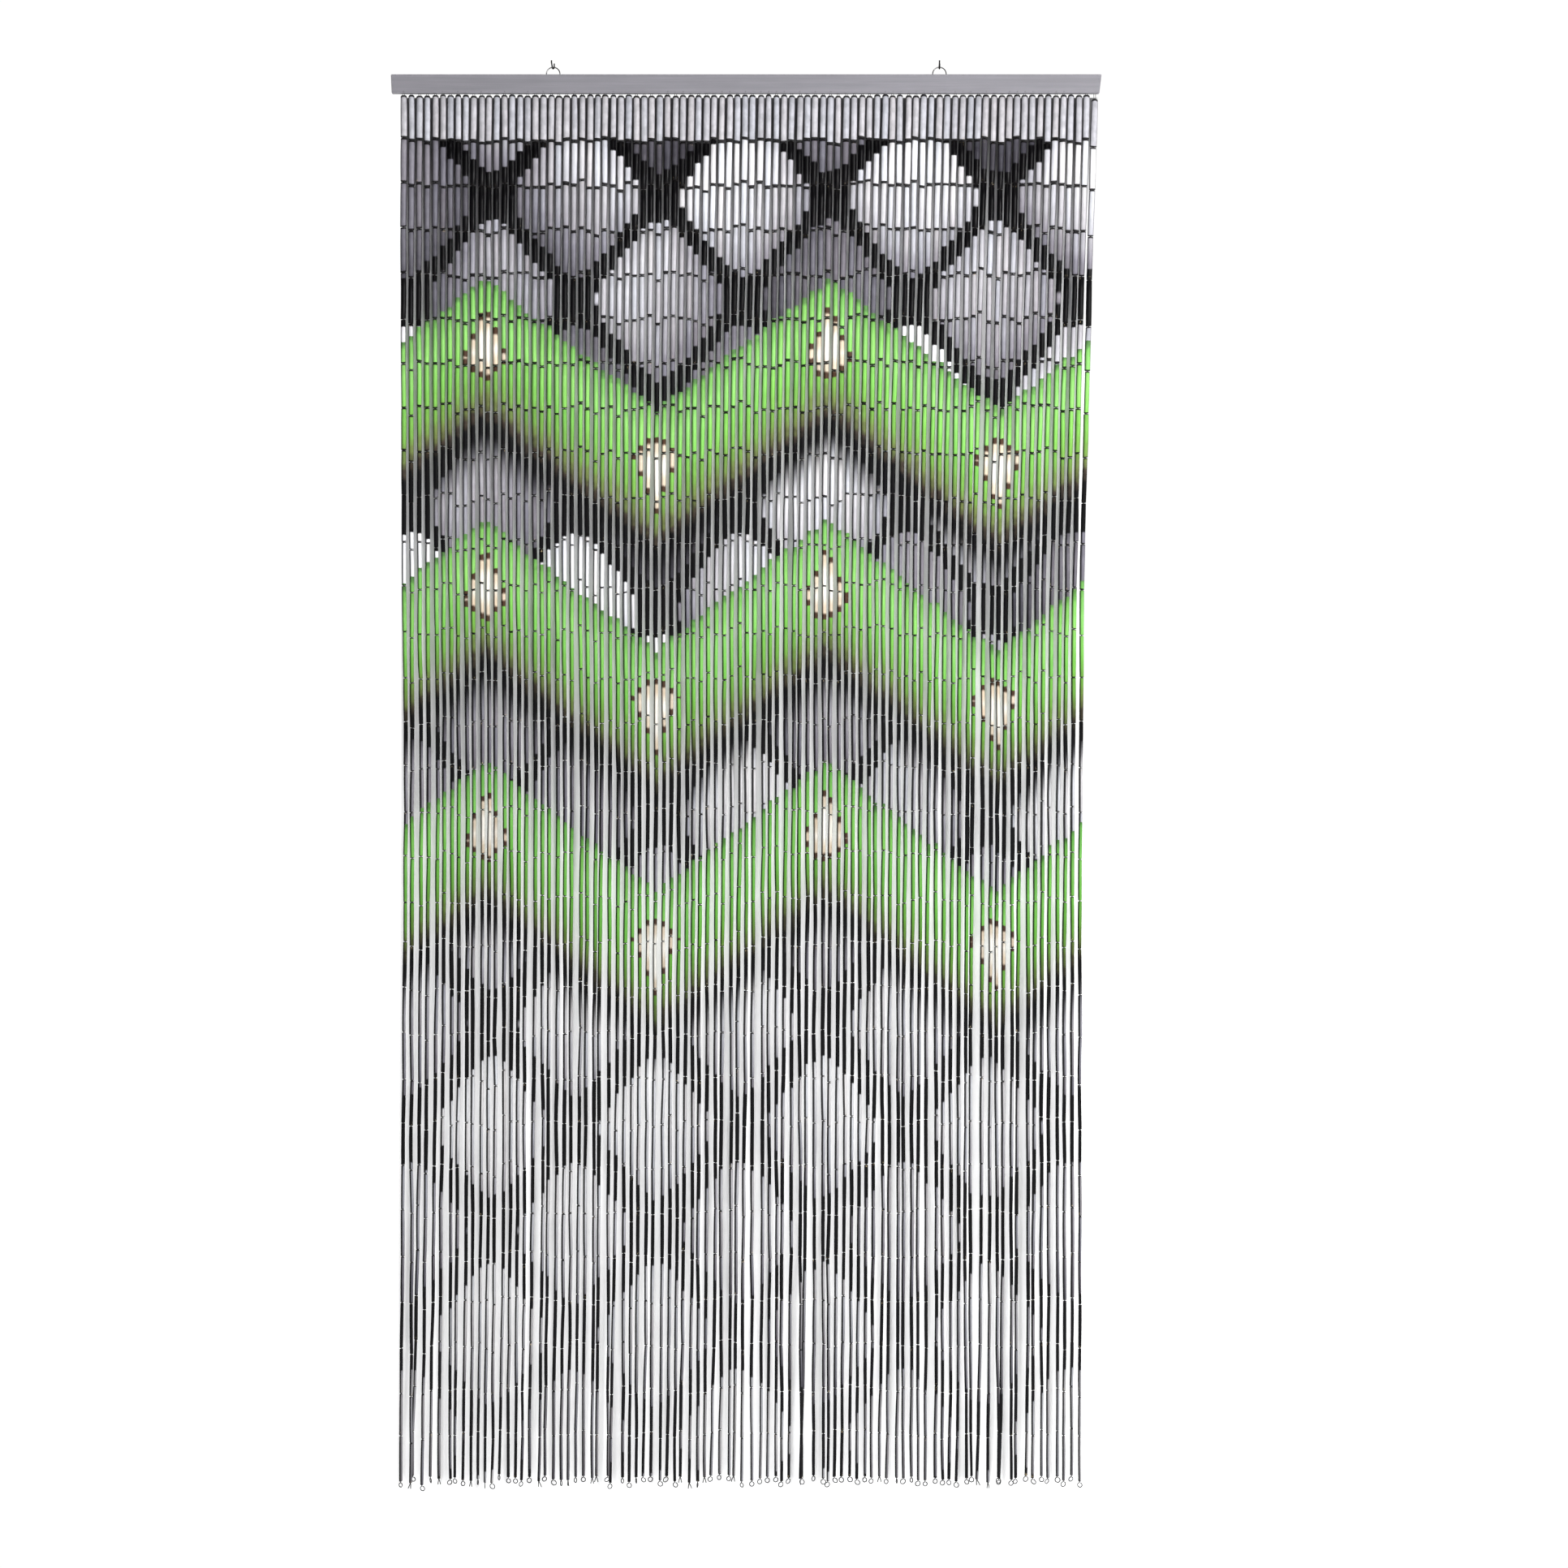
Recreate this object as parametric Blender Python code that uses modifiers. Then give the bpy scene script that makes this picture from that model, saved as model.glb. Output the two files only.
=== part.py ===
"""Bead curtain that hangs from a wooden batten, with its two hanging rings and their hooks.

The frame: X runs along the batten, Z is up, and the front faces -Y. The origin is the middle of the batten's top face.
Sizes below are in millimetres and are turned into metres by mm().
"""
import math
import random

import bmesh
import bpy
from mathutils import Matrix, Vector

# ---------------------------------------------------------------- driving sizes, mm
CLEARANCE = 0.3  # between pieces that meet

BATTEN_LENGTH = 900.0  # along its top face
BATTEN_END_SLANT = (1.0, 2.8)  # the left and right ends lean in by this much at the bottom
BATTEN_HEIGHT = 24.0
BATTEN_DEPTH = 11.0
BATTEN_EDGE = 0.8  # planed-off corners

STRANDS = 90
BEADS_PER_STRAND = 31
BEAD_PITCH = 56.5  # one bead and the joint below it
BEAD_PITCH_SPREAD = 0.9
FIRST_BEAD_SPREAD = 1.0
LENGTH_EVENING = 0.6  # how much of a strand's total error is left after it is cut to length
FIRST_BEAD_TOP = -26.6
FIRST_BEAD_DROP = 1.6  # the first bead hangs up to this much lower
LAST_STRAND_DROP = 5.0  # the strand at the right end hangs lower on its wires
END_LOOP = 8.0  # wire loop under the last bead
BEAD_SEED = 1701
SWAY_SEED = 42

SPINE_HEIGHT = 2.7  # the row of wire staples under the batten
SPINE_DEPTH = 2.4
SPINE_OVERHANG = 4.0

# how the row of strands hangs, level by level from the top
# columns: share of the drop, outermost left strand, outermost right strand, sway, sway front to back, bead diameter
HANG = (
    (0.000, -434.1, 441.6, 0.28, 0.10, 8.4),
    (0.167, -434.6, 433.5, 0.36, 0.40, 6.9),
    (0.333, -433.7, 426.3, 0.58, 0.75, 6.0),
    (0.500, -431.5, 423.8, 0.92, 1.05, 5.5),
    (0.667, -433.2, 422.6, 1.15, 1.25, 5.2),
    (0.833, -435.6, 422.8, 1.65, 1.40, 4.9),
    (1.000, -438.7, 421.7, 1.90, 1.50, 4.8),
)
# neighbours that swing across each other at the bottom
# columns: left strand of the two, space left between their axes in x, and in y
CROSSING = (
    (1, 1.2, 6.0),
    (27, 2.0, 5.8),
    (52, 0.6, 6.2),
    (78, 1.6, 6.0),
)
CROSSING_PULL = {0: (1.0, 1.0), 1: (0.35, 0.75)}  # levels above the bottom: share of that in x, and in y

RING_AT = 245.0  # from the middle of the batten
RING_DIAMETER = 17.2  # to the middle of its wire
RING_WIRE = 1.4
RING_LIFT = 2.0  # its centre above the batten's top face

STAPLE_WIRE = 1.2
STAPLE_DEPTH = 6.0  # into the batten
STAPLE_BEND = 0.9

HOOK_WIRE = 1.8
HOOK_BEND = 3.0
HOOK_TIP = 3.2  # the tip stands this far above the bend's centre
HOOK_TOP = 20.0  # the shank's upper end
# columns: name, side, turn about Z in degrees, lean of the shank in degrees
HOOKS = (
    ("hook_left", -1, 29.0, 9.0),
    ("hook_right", 1, 4.0, -4.0),
)

RING_Y = BATTEN_DEPTH / 2 + CLEARANCE + RING_WIRE / 2


def mm(*values):
    return values[0] * 0.001 if len(values) == 1 else tuple(v * 0.001 for v in values)


# ---------------------------------------------------------------- how the strands hang
def bead_steps():
    """For each strand, the height of its first bead's top and the pitch of every bead, in mm."""
    rng = random.Random(BEAD_SEED)
    strands = []
    for i in range(STRANDS):
        top = FIRST_BEAD_TOP - rng.uniform(0.0, FIRST_BEAD_DROP)
        if i == STRANDS - 1:
            top -= LAST_STRAND_DROP
        pitches = []
        for k in range(BEADS_PER_STRAND):
            spread = BEAD_PITCH_SPREAD + (FIRST_BEAD_SPREAD if k == 0 else 0.0)
            pitches.append(BEAD_PITCH + max(-4.0, min(2.6, rng.gauss(0.0, spread))))
        nominal = BEAD_PITCH * BEADS_PER_STRAND
        wanted = nominal + (sum(pitches) - nominal) * LENGTH_EVENING
        factor = wanted / sum(pitches)
        strands.append((top, [p * factor for p in pitches]))
    return strands


def hang_points():
    """x and y of each strand's axis at each level of the HANG table, in mm: points[strand][level]."""
    rng = random.Random(SWAY_SEED)
    waves = [(rng.uniform(7.0, 13.0), rng.uniform(0.0, 6.28), rng.uniform(-2.5, 2.5)) for _ in range(3)]
    points = [[None] * len(HANG) for _ in range(STRANDS)]
    own_x = [rng.gauss(0.0, 1.0) for _ in range(STRANDS)]
    own_y = [rng.gauss(0.0, 1.0) for _ in range(STRANDS)]
    for level, (share, left, right, sway_x, sway_y, bead) in enumerate(HANG):
        xs, ys = [], []
        for i in range(STRANDS):
            own_x[i] = 0.72 * own_x[i] + 0.69 * rng.gauss(0.0, 1.0)
            own_y[i] = 0.72 * own_y[i] + 0.69 * rng.gauss(0.0, 1.0)
            t = i / (STRANDS - 1)
            shared = sum(math.sin(turns * t * 2.0 + start + lean * share) for turns, start, lean in waves)
            ease = 0.35 if i in (0, STRANDS - 1) else 1.0
            xs.append(left + (right - left) * t + ease * sway_x * (0.95 * own_x[i] + 0.55 * shared))
            ys.append(max(-2.6, min(2.6, sway_y * (0.8 * own_y[i] + 0.3 * shared))))
        apart = bead + 0.8
        for _ in range(80):
            for i in range(STRANDS - 1):
                short = apart - (xs[i + 1] - xs[i])
                if short > 0.0:
                    xs[i] -= short / 2
                    xs[i + 1] += short / 2
        for i, apart_x, apart_y in CROSSING:
            pull_x, pull_y = CROSSING_PULL.get(len(HANG) - 1 - level, (0.0, 0.0))
            mid = (xs[i] + xs[i + 1]) / 2
            half = (xs[i + 1] - xs[i]) / 2
            half += (apart_x / 2 - half) * pull_x
            xs[i], xs[i + 1] = mid - half, mid + half
            ys[i] += (-apart_y / 2 - ys[i]) * pull_y
            ys[i + 1] += (apart_y / 2 - ys[i + 1]) * pull_y
        for i in range(STRANDS):
            points[i][level] = (xs[i], ys[i])
    return points


# ---------------------------------------------------------------- helpers
def material(name, colour, roughness, metallic=0.0):
    m = bpy.data.materials.new(name)
    m.use_nodes = True
    shader = m.node_tree.nodes["Principled BSDF"]
    shader.inputs["Base Color"].default_value = (*colour, 1.0)
    shader.inputs["Roughness"].default_value = roughness
    shader.inputs["Metallic"].default_value = metallic
    m.diffuse_color = (*colour, 1.0)
    return m


def place(obj, collection, mat=None):
    for c in list(obj.users_collection):
        c.objects.unlink(obj)
    collection.objects.link(obj)
    if mat:
        obj.data.materials.clear()
        obj.data.materials.append(mat)
    return obj


def as_cutter(obj):
    obj.hide_render = True
    obj.display_type = "WIRE"
    return place(obj, cutters)


def wire(name, path, radius, resolution=2):
    """A round wire along a list of points in mm, with closed ends, as a curve object."""
    data = bpy.data.curves.new(name, "CURVE")
    data.dimensions = "3D"
    data.bevel_depth = mm(radius)
    data.bevel_resolution = resolution
    data.use_fill_caps = True
    spline = data.splines.new("POLY")
    spline.points.add(len(path) - 1)
    for point, where in zip(spline.points, path):
        point.co = (*mm(*where), 1.0)
    spline.use_smooth = True
    return bpy.data.objects.new(name, data)


def box(name, low, high):
    """A cube primitive brought to a box between two corners in mm, its scale applied."""
    bpy.ops.mesh.primitive_cube_add(size=1.0)
    obj = bpy.context.active_object
    obj.name = obj.data.name = name
    size = [mm(h - l) for l, h in zip(low, high)]
    obj.data.transform(Matrix.Diagonal((*size, 1.0)))
    obj.location = [mm((l + h) / 2) for l, h in zip(low, high)]
    return obj


# ---------------------------------------------------------------- the scene
for old in list(bpy.data.objects):
    bpy.data.objects.remove(old, do_unlink=True)

curtain = bpy.data.collections.new("bead_curtain")
cutters = bpy.data.collections.new("cutters")
for c in (curtain, cutters):
    bpy.context.scene.collection.children.link(c)

paint = material("batten_paint", (0.32, 0.31, 0.34), 0.45)
beads = material("bead_paint", (0.55, 0.57, 0.55), 0.4)
steel = material("ring_steel", (0.62, 0.62, 0.62), 0.3, 1.0)
dark_steel = material("hook_steel", (0.16, 0.16, 0.17), 0.38, 1.0)

# ---------------------------------------------------------------- batten
batten = box(
    "batten",
    (-BATTEN_LENGTH / 2, -BATTEN_DEPTH / 2, -BATTEN_HEIGHT),
    (BATTEN_LENGTH / 2, BATTEN_DEPTH / 2, 0.0),
)
for v in batten.data.vertices:
    if v.co.z < 0.0:
        v.co.x += mm(BATTEN_END_SLANT[0]) if v.co.x < 0.0 else -mm(BATTEN_END_SLANT[1])
edges = batten.modifiers.new("planed_corners", "BEVEL")
edges.width = mm(BATTEN_EDGE)
edges.segments = 1
place(batten, curtain, paint)

# ---------------------------------------------------------------- rings, and the staples that hold them to the back
ring_bottom = RING_LIFT - RING_DIAMETER / 2
upper_leg = ring_bottom + RING_WIRE / 2 + CLEARANCE + STAPLE_WIRE / 2
lower_leg = ring_bottom - RING_WIRE / 2 - CLEARANCE - STAPLE_WIRE / 2 - 0.6
crown_y = RING_Y + RING_WIRE / 2 + CLEARANCE + STAPLE_WIRE / 2
leg_end_y = BATTEN_DEPTH / 2 - STAPLE_DEPTH

for side, name in ((-1, "left"), (1, "right")):
    x = side * RING_AT
    bpy.ops.mesh.primitive_torus_add(
        major_radius=mm(RING_DIAMETER / 2),
        minor_radius=mm(RING_WIRE / 2),
        major_segments=36,
        minor_segments=8,
        location=mm(x, RING_Y, RING_LIFT),
        rotation=(math.pi / 2, 0.0, 0.0),
    )
    ring = bpy.context.active_object
    ring.name = ring.data.name = "ring_" + name
    ring.data.shade_smooth()
    place(ring, curtain, steel)

    path = [(x, leg_end_y, upper_leg)]
    for turn in (0.0, 30.0, 60.0, 90.0):
        a = math.radians(turn)
        path.append((x, crown_y - STAPLE_BEND * (1 - math.sin(a)), upper_leg - STAPLE_BEND * (1 - math.cos(a))))
    for turn in (90.0, 60.0, 30.0, 0.0):
        a = math.radians(turn)
        path.append((x, crown_y - STAPLE_BEND * (1 - math.sin(a)), lower_leg + STAPLE_BEND * (1 - math.cos(a))))
    path.append((x, leg_end_y, lower_leg))
    place(wire("staple_" + name, path, STAPLE_WIRE / 2), curtain, steel)

    # the staple's two holes in the batten's back
    for tag, z in (("upper", upper_leg), ("lower", lower_leg)):
        bottom = leg_end_y - CLEARANCE
        top = BATTEN_DEPTH / 2 + 1.0
        bpy.ops.mesh.primitive_cylinder_add(
            vertices=12,
            radius=mm(STAPLE_WIRE / 2 + CLEARANCE + 0.03),
            depth=mm(top - bottom),
            location=mm(x, (top + bottom) / 2, z),
            rotation=(math.pi / 2, 0.0, 0.0),
        )
        hole = bpy.context.active_object
        hole.name = "hole_" + name + "_" + tag
        as_cutter(hole)
        cut = batten.modifiers.new(hole.name, "BOOLEAN")
        cut.operation = "DIFFERENCE"
        cut.solver = "EXACT"
        cut.object = hole

# ---------------------------------------------------------------- hooks
ring_top = RING_LIFT + RING_DIAMETER / 2
bend_z = ring_top - RING_WIRE / 2 - CLEARANCE - HOOK_WIRE / 2 + HOOK_BEND

for name, side, turn, lean in HOOKS:
    # in the hook's own plane: u runs from the shank to the tip, and the shank leans by the given angle
    tilt = math.tan(math.radians(lean))
    flat = [(HOOK_BEND, HOOK_TIP), (HOOK_BEND, HOOK_TIP / 2)]
    flat += [
        (HOOK_BEND * math.cos(math.radians(a)), -HOOK_BEND * math.sin(math.radians(a)))
        for a in (0, 22.5, 45, 67.5, 90, 112.5, 135, 157.5, 180)
    ]
    shank = HOOK_TOP - bend_z
    flat += [(-HOOK_BEND, shank * 0.15), (-HOOK_BEND, shank * 0.7), (-HOOK_BEND, shank)]
    c, s = math.cos(math.radians(turn)), math.sin(math.radians(turn))
    path = []
    for u, h in flat:
        drift = -tilt * min(max(0.0, h), shank * 0.7) if u < 0 else 0.0  # the shank's last part is upright
        path.append((side * RING_AT + u * s + drift, RING_Y - u * c, bend_z + h))
    place(wire(name, path, HOOK_WIRE / 2), curtain, dark_steel)

# ---------------------------------------------------------------- strands, as one comb along the batten's lower edge
steps = bead_steps()
hang = hang_points()
spine_top = -BATTEN_HEIGHT - CLEARANCE
spine = box(
    "strand_comb",
    (hang[0][0][0] - SPINE_OVERHANG, -SPINE_DEPTH / 2, spine_top - SPINE_HEIGHT),
    (hang[-1][0][0] + SPINE_OVERHANG, SPINE_DEPTH / 2, spine_top),
)

teeth = bpy.data.curves.new("teeth", "CURVE")
teeth.dimensions = "3D"
teeth.bevel_depth = mm(1.0)
teeth.bevel_resolution = 1  # six-sided, because the round beads are fine detail
teeth.use_fill_caps = True
tooth_top = spine_top - SPINE_HEIGHT * 0.6
for i in range(STRANDS):
    top, pitches = steps[i]
    bottom = top - sum(pitches) - END_LOOP
    spline = teeth.splines.new("POLY")
    spline.points.add(len(HANG) - 1)
    for level, row in enumerate(HANG):
        x, y = hang[i][level]
        z = tooth_top + (bottom - tooth_top) * row[0]
        spline.points[level].co = (*mm(x, y, z), 1.0)
        spline.points[level].radius = row[5] / 2
teeth_curve = bpy.data.objects.new("teeth", teeth)
cutters.objects.link(teeth_curve)
bpy.context.view_layer.update()
evaluated = teeth_curve.evaluated_get(bpy.context.evaluated_depsgraph_get())
mesh = bpy.data.meshes.new_from_object(evaluated)
work = bmesh.new()
work.from_mesh(mesh)
bmesh.ops.remove_doubles(work, verts=work.verts, dist=1e-6)
bmesh.ops.recalc_face_normals(work, faces=work.faces)
work.to_mesh(mesh)
work.free()
teeth_solid = bpy.data.objects.new("teeth_solid", mesh)
teeth_solid.matrix_world = teeth_curve.matrix_world
cutters.objects.link(teeth_solid)
bpy.data.objects.remove(teeth_curve, do_unlink=True)
as_cutter(teeth_solid)

joined = spine.modifiers.new("teeth", "BOOLEAN")
joined.operation = "UNION"
joined.solver = "EXACT"
joined.object = teeth_solid
place(spine, curtain, beads)
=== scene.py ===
"""Bead curtain on its batten, as it hangs before a white wall: the strands of painted tubes on their wire links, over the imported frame.

The frame: X runs along the batten, Z is up, and the front faces -Y. Sizes in the tables below are in millimetres.
"""
import math
import random

import bpy
import numpy as np
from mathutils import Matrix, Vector


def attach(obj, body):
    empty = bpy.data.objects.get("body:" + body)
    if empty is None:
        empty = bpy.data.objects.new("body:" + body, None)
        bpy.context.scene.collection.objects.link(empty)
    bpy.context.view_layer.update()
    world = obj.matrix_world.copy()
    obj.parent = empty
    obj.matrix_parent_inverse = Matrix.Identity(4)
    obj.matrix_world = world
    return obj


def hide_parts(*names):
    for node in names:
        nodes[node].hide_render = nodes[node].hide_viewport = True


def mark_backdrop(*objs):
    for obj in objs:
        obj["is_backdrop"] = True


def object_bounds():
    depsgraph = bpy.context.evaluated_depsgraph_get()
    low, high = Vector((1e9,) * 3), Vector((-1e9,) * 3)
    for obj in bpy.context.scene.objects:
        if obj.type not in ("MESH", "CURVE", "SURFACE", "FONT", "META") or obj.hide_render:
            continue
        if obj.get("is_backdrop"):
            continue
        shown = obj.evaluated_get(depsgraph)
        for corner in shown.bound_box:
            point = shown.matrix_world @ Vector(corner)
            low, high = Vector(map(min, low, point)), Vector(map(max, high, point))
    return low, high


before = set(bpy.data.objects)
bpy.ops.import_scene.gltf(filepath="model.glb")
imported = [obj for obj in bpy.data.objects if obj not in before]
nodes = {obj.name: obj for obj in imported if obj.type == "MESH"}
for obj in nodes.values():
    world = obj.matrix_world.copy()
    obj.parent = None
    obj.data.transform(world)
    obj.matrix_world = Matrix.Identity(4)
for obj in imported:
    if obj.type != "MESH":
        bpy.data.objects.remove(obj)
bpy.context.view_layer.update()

# ---------------------------------------------------------------- how the row of strands hangs, as in the CAD
BATTEN_HEIGHT = 24.0
CLEARANCE = 0.3
STRANDS = 90
BEADS_PER_STRAND = 31
BEAD_PITCH = 56.5
BEAD_PITCH_SPREAD = 0.9
FIRST_BEAD_SPREAD = 1.0
LENGTH_EVENING = 0.6
FIRST_BEAD_TOP = -26.6
FIRST_BEAD_DROP = 1.6
LAST_STRAND_DROP = 5.0
END_LOOP = 8.0
BEAD_SEED = 1701
SWAY_SEED = 42
SPINE_HEIGHT = 2.7
# columns: share of the drop, outermost left strand, outermost right strand, sway, sway front to back, tooth diameter
HANG = (
    (0.000, -434.1, 441.6, 0.28, 0.10, 8.4),
    (0.167, -434.6, 433.5, 0.36, 0.40, 6.9),
    (0.333, -433.7, 426.3, 0.58, 0.75, 6.0),
    (0.500, -431.5, 423.8, 0.92, 1.05, 5.5),
    (0.667, -433.2, 422.6, 1.15, 1.25, 5.2),
    (0.833, -435.6, 422.8, 1.65, 1.40, 4.9),
    (1.000, -438.7, 421.7, 1.90, 1.50, 4.8),
)
CROSSING = (
    (1, 1.2, 6.0),
    (27, 2.0, 5.8),
    (52, 0.6, 6.2),
    (78, 1.6, 6.0),
)
CROSSING_PULL = {0: (1.0, 1.0), 1: (0.35, 0.75)}
TOOTH_TOP = -BATTEN_HEIGHT - CLEARANCE - SPINE_HEIGHT * 0.6

# the beads' own diameters: share of the drop, mm
BEAD_WIDTH = ((0.0, 8.7), (0.03, 8.6), (0.06, 8.1), (0.11, 7.4), (0.167, 6.9), (0.25, 6.4), (0.333, 6.0),
              (0.5, 5.5), (0.667, 5.1), (0.833, 4.65), (1.0, 3.85))
JOINT_GAP = 0.6

GROUPS = 10  # the strands are joined in this many meshes
SIDES = 12


def bead_steps():
    """For each strand, the height of its first bead's top and the pitch of every bead, in mm."""
    rng = random.Random(BEAD_SEED)
    strands = []
    for i in range(STRANDS):
        top = FIRST_BEAD_TOP - rng.uniform(0.0, FIRST_BEAD_DROP)
        if i == STRANDS - 1:
            top -= LAST_STRAND_DROP
        pitches = []
        for k in range(BEADS_PER_STRAND):
            spread = BEAD_PITCH_SPREAD + (FIRST_BEAD_SPREAD if k == 0 else 0.0)
            pitches.append(BEAD_PITCH + max(-4.0, min(2.6, rng.gauss(0.0, spread))))
        nominal = BEAD_PITCH * BEADS_PER_STRAND
        wanted = nominal + (sum(pitches) - nominal) * LENGTH_EVENING
        factor = wanted / sum(pitches)
        strands.append((top, [p * factor for p in pitches]))
    return strands


def hang_points():
    """x and y of each strand's axis at each level of the HANG table, in mm: points[strand][level]."""
    rng = random.Random(SWAY_SEED)
    waves = [(rng.uniform(7.0, 13.0), rng.uniform(0.0, 6.28), rng.uniform(-2.5, 2.5)) for _ in range(3)]
    points = [[None] * len(HANG) for _ in range(STRANDS)]
    own_x = [rng.gauss(0.0, 1.0) for _ in range(STRANDS)]
    own_y = [rng.gauss(0.0, 1.0) for _ in range(STRANDS)]
    for level, (share, left, right, sway_x, sway_y, bead) in enumerate(HANG):
        xs, ys = [], []
        for i in range(STRANDS):
            own_x[i] = 0.72 * own_x[i] + 0.69 * rng.gauss(0.0, 1.0)
            own_y[i] = 0.72 * own_y[i] + 0.69 * rng.gauss(0.0, 1.0)
            t = i / (STRANDS - 1)
            shared = sum(math.sin(turns * t * 2.0 + start + lean * share) for turns, start, lean in waves)
            ease = 0.35 if i in (0, STRANDS - 1) else 1.0
            xs.append(left + (right - left) * t + ease * sway_x * (0.95 * own_x[i] + 0.55 * shared))
            ys.append(max(-2.6, min(2.6, sway_y * (0.8 * own_y[i] + 0.3 * shared))))
        apart = bead + 0.8
        for _ in range(80):
            for i in range(STRANDS - 1):
                short = apart - (xs[i + 1] - xs[i])
                if short > 0.0:
                    xs[i] -= short / 2
                    xs[i + 1] += short / 2
        for i, apart_x, apart_y in CROSSING:
            pull_x, pull_y = CROSSING_PULL.get(len(HANG) - 1 - level, (0.0, 0.0))
            mid = (xs[i] + xs[i + 1]) / 2
            half = (xs[i + 1] - xs[i]) / 2
            half += (apart_x / 2 - half) * pull_x
            xs[i], xs[i + 1] = mid - half, mid + half
            ys[i] += (-apart_y / 2 - ys[i]) * pull_y
            ys[i + 1] += (apart_y / 2 - ys[i + 1]) * pull_y
        for i in range(STRANDS):
            points[i][level] = (xs[i], ys[i])
    return points


# ---------------------------------------------------------------- where every joint hangs
chance = np.random.default_rng(90210)
steps = bead_steps()
hang = np.array(hang_points())  # strand, level, xy
shares = np.array([row[0] for row in HANG])

joint_z = np.empty((STRANDS, BEADS_PER_STRAND + 1))
for i, (top, pitches) in enumerate(steps):
    joint_z[i] = top - np.concatenate(([0.0], np.cumsum(pitches)))
bottoms = joint_z[:, -1] - END_LOOP
joint_share = (TOOTH_TOP - joint_z) / (TOOTH_TOP - bottoms)[:, None]
# tubes of uneven length: neighbouring joints are further apart in height the lower they are
uneven = np.clip(chance.normal(0.0, 1.0, joint_z.shape), -1.9, 1.9) * (0.25 + 1.55 * np.sqrt(joint_share))
uneven[:, 0] = 1.5
uneven[:, -1] = 0.0
slip = np.random.default_rng(555).normal(0.0, 1.0, (STRANDS, BEADS_PER_STRAND)) * 1.55
slip[:, 0] *= 0.5
slip = np.concatenate((np.zeros((STRANDS, 1)), np.cumsum(slip, axis=1)), 1)
slip -= slip[:, -1:] * np.arange(BEADS_PER_STRAND + 1) / BEADS_PER_STRAND
joint_z += uneven + slip.clip(-9.0, 9.0)


def smooth_read(values, at):
    """Reads a row of values at the HANG levels along a smooth curve through them."""
    slope = np.gradient(values, shares)
    j = np.clip(np.searchsorted(shares, at) - 1, 0, len(shares) - 2)
    width = shares[j + 1] - shares[j]
    t = (at - shares[j]) / width
    a, b = values[j], values[j + 1]
    ease = 0.55  # part of the full slope, so that the curve stays near the CAD's straight lines
    p, q = slope[j] * width, slope[j + 1] * width
    bend = (2 * t**3 - 3 * t**2 + 1) * a + (t**3 - 2 * t**2 + t) * p + (-2 * t**3 + 3 * t**2) * b + (t**3 - t**2) * q
    return bend * ease + (a + (b - a) * t) * (1 - ease)


joint_x = np.empty_like(joint_z)
joint_y = np.empty_like(joint_z)
for i in range(STRANDS):
    joint_x[i] = smooth_read(hang[i, :, 0], joint_share[i])
    joint_y[i] = smooth_read(hang[i, :, 1], joint_share[i])
kink = chance.normal(0.0, 1.0, joint_x.shape)
joint_x += kink * (0.26 + 0.16 * joint_share)
kink = chance.normal(0.0, 1.0, joint_y.shape)
joint_y += kink * (0.08 + 0.35 * joint_share)
joint_x[0] = joint_x[0].clip(-438.0, None)
joint_y = joint_y.clip(-3.3, 3.3)

bead_share = (joint_share[:, :-1] + joint_share[:, 1:]) / 2
widths = np.interp(bead_share, *np.array(BEAD_WIDTH).T)
widths *= 1.0 + np.clip(chance.normal(0.0, 0.045, widths.shape), -0.09, 0.09) + np.clip(chance.normal(0.0, 0.02, (STRANDS, 1)), -0.04, 0.04)
widths[:, 0] = np.clip(widths[:, 0], 7.9, 9.1)
joint_width = np.concatenate((widths[:, :1], np.maximum(widths[:, :-1], widths[:, 1:]), widths[:, -1:]), 1)
for _ in range(60):  # neighbours don't run into each other
    dx, dy = np.diff(joint_x, axis=0), np.diff(joint_y, axis=0)
    need = (joint_width[1:] + joint_width[:-1]) / 2 + 0.12
    flat = np.sqrt(np.maximum(need**2 - dy**2, 0.0))
    push = np.maximum(flat - dx, 0.0) / 2
    joint_x[:-1] -= push
    joint_x[1:] += push
joint_x[0] = joint_x[0].clip(-441.0, None)


# ---------------------------------------------------------------- meshes from arrays
def build(name, points, loops, sizes, smooth, uv, facts, material):
    """A mesh object from arrays: points in m, corner indices, corners per face, smooth per face, a bake map per corner, and point attributes."""
    mesh = bpy.data.meshes.new(name)
    mesh.vertices.add(len(points))
    mesh.vertices.foreach_set("co", np.ascontiguousarray(points, np.float32).ravel())
    mesh.loops.add(len(loops))
    mesh.loops.foreach_set("vertex_index", np.ascontiguousarray(loops, np.int32))
    mesh.polygons.add(len(sizes))
    starts = np.concatenate(([0], np.cumsum(sizes)[:-1])).astype(np.int32)
    mesh.polygons.foreach_set("loop_start", starts)
    mesh.polygons.foreach_set("use_smooth", np.ascontiguousarray(smooth, bool))
    mesh.update(calc_edges=True)
    layer = mesh.uv_layers.new(name="OFBake")
    layer.uv.foreach_set("vector", np.ascontiguousarray(uv, np.float32).ravel())
    for key, values in facts.items():
        mesh.attributes.new(key, "FLOAT_VECTOR", "POINT").data.foreach_set(
            "vector", np.ascontiguousarray(values, np.float32).ravel()
        )
    mesh.validate()
    obj = bpy.data.objects.new(name, mesh)
    bpy.context.scene.collection.objects.link(obj)
    mesh.materials.append(material)
    return obj


def cells(count, aspect):
    """Lower left corners and the size of as many equal cells of a square map, each aspect times as high as wide."""
    columns = max(1, math.ceil(math.sqrt(count * aspect)))
    rows = math.ceil(count / columns)
    n = np.arange(count)
    size = np.array((1.0 / columns, 1.0 / rows))
    return np.stack((n % columns, n // columns), 1) * size, size


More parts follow.
